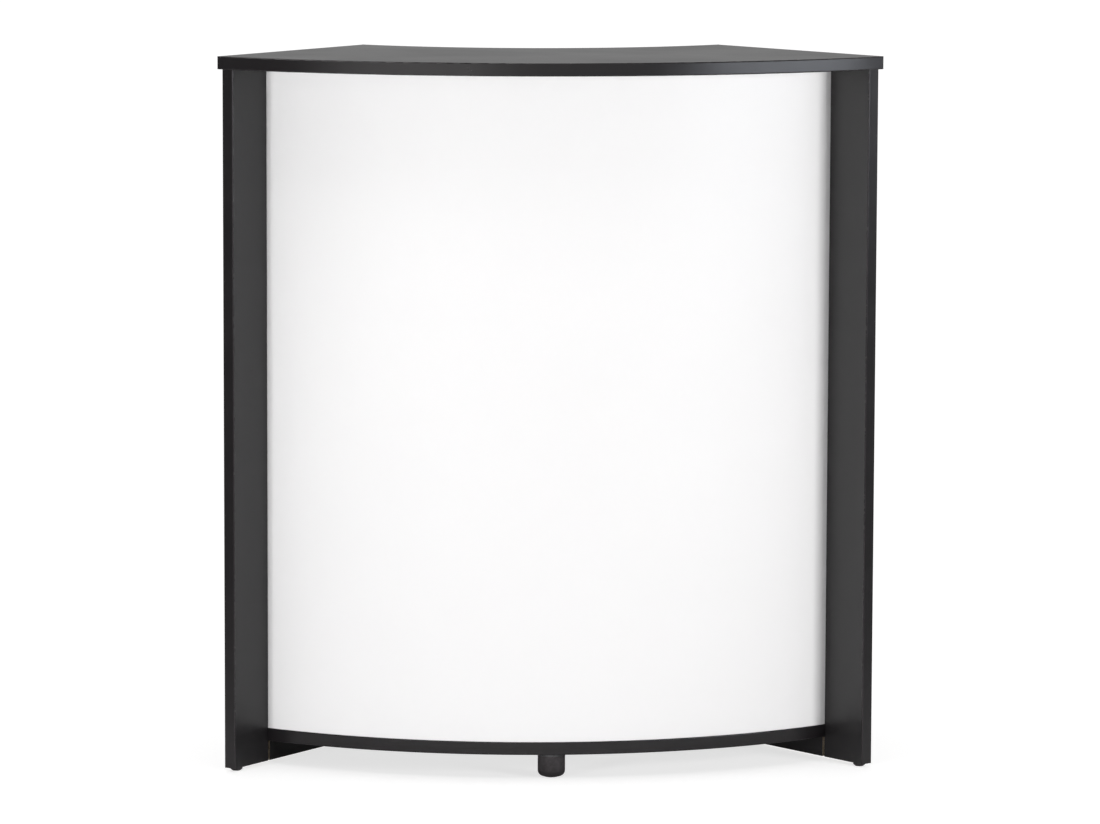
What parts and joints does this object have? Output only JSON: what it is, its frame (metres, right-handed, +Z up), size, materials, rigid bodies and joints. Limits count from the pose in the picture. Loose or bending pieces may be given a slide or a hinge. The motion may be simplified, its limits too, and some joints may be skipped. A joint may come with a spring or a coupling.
{
  "type": "bar counter",
  "caption": "Curved bar counter: ring-sector worktop on radial side panels, bent front sheet set back on a base shelf, open rear with loose shelves, adjustable centre foot.",
  "frame": {"origin": "centre of the overall box's bottom face, on the floor", "axes": "+Z up; -Y to the convex front with the sheet; +Y to the open rear; +X to the right as seen from the front"},
  "size_m": [0.966, 0.4489, 1.048],
  "materials": {
    "board": "dark grey melamine face on particle board, fine matt grain",
    "edge_band": "dark grey thick edge band, satin, rounded corners",
    "white_sheet": "white satin laminate on a thin bendable sheet",
    "black_plastic": "moulded, fine matt texture",
    "grey_plastic": "moulded, satin",
    "rubber_pad": "matt",
    "zinc_steel": "zinc plated",
    "beech": "raw fluted dowel wood"
  },
  "bodies": {
    "counter": {"worktop": "board", "worktop_front_band": "edge_band", "worktop_rear_band": "edge_band", "worktop_left_band": "edge_band", "worktop_right_band": "edge_band", "left_panel": "board", "left_panel_front_band": "edge_band", "left_panel_rear_band": "edge_band", "right_panel": "board", "right_panel_front_band": "edge_band", "right_panel_rear_band": "edge_band", "base_shelf": "board", "base_shelf_front_band": "edge_band", "base_shelf_rear_band": "edge_band", "lower_shelf": "board", "lower_shelf_rear_band": "edge_band", "upper_shelf": "board", "upper_shelf_rear_band": "edge_band", "front_sheet": "white_sheet", "left_glides": "black_plastic", "right_glides": "black_plastic", "foot_flange": "grey_plastic", "foot_screw": "zinc_steel", "worktop_cam_bolts": "zinc_steel", "worktop_cams": "zinc_steel", "worktop_dowels": "beech", "base_cam_bolts": "zinc_steel", "base_cams": "zinc_steel", "base_dowels": "beech", "shelf_supports": "zinc_steel"},
    "pad": {"foot_pad": "rubber_pad"},
    "cup": {"foot_cup": "black_plastic"}
  },
  "joints": [
    {"name": "foot_lowering", "type": "slide", "parent": "counter", "child": "pad", "axis": [0, 0, -1], "range_m": [0, 0.01]},
    {"name": "foot_turning", "type": "hinge", "parent": "pad", "child": "cup", "pos_m": [0, -0.11973, 0], "axis": [0, 0, -1], "range_deg": [0, 1800]}
  ],
  "couplings": [
    {"joint": "foot_turning", "follows": "foot_lowering", "rad_per_m": 3141.6}
  ]
}
